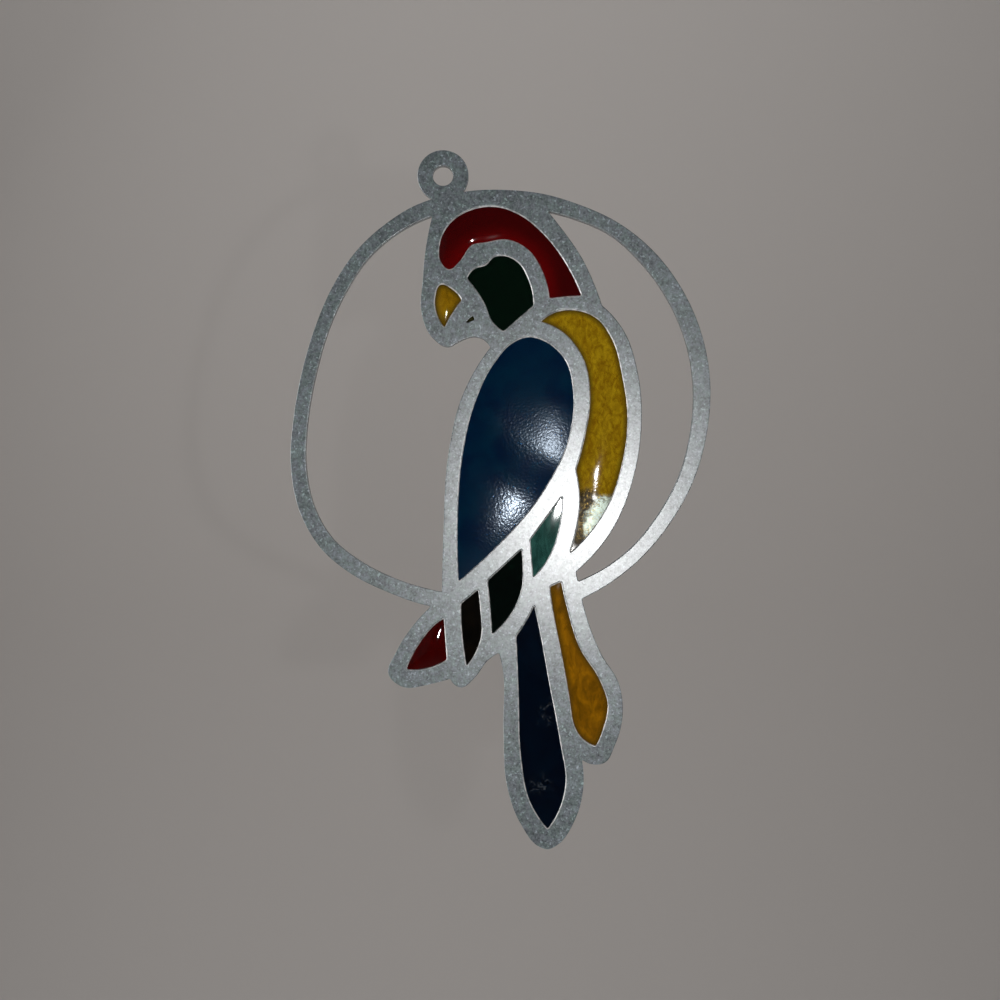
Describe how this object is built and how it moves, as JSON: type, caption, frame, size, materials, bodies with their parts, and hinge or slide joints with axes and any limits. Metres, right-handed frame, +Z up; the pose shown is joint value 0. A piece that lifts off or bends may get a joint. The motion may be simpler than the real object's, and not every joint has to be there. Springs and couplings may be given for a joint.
{
  "type": "suncatcher",
  "caption": "Flat cast metal suncatcher: a parrot perched in an open hand-shaped ring, its outline filled with clear coloured resin, with a round hanging eye.",
  "frame": {"origin": "top of the hole in the hanging eye, midway through the metal's thickness, where a hook or thread bears", "axes": "+Z up as the picture shows it, along the length; the front face looks along -Y and the flat back along +Y; +X to the right seen from the front"},
  "size_m": [0.0914, 0.003, 0.1521],
  "materials": {
    "metal_casting": "raw grey zinc-alloy casting, fine mottled grain, satin",
    "crown_red": "clear red casting resin, glossy, slightly domed",
    "cheek_green": "clear green-black casting resin, glossy",
    "beak_amber": "streaky amber casting resin, glossy",
    "wing_blue": "clear navy casting resin, glossy with a finely rippled top",
    "back_amber": "streaky amber casting resin, glossy, milky at its lower end",
    "feather_teal": "clear teal casting resin, glossy",
    "feather_dark_green": "clear green-black casting resin, glossy",
    "feather_dark_brown": "clear brown-black casting resin, glossy",
    "feather_red": "clear dark red casting resin, glossy",
    "tail_blue": "clear navy casting resin, glossy, lightly scuffed",
    "tail_amber": "streaky amber casting resin, glossy"
  },
  "bodies": {
    "root": {"metal_casting": "metal_casting", "crown_red": "crown_red", "cheek_green": "cheek_green", "beak_amber": "beak_amber", "wing_blue": "wing_blue", "back_amber": "back_amber", "feather_teal": "feather_teal", "feather_dark_green": "feather_dark_green", "feather_dark_brown": "feather_dark_brown", "feather_red": "feather_red", "tail_blue": "tail_blue", "tail_amber": "tail_amber"}
  },
  "joints": []
}
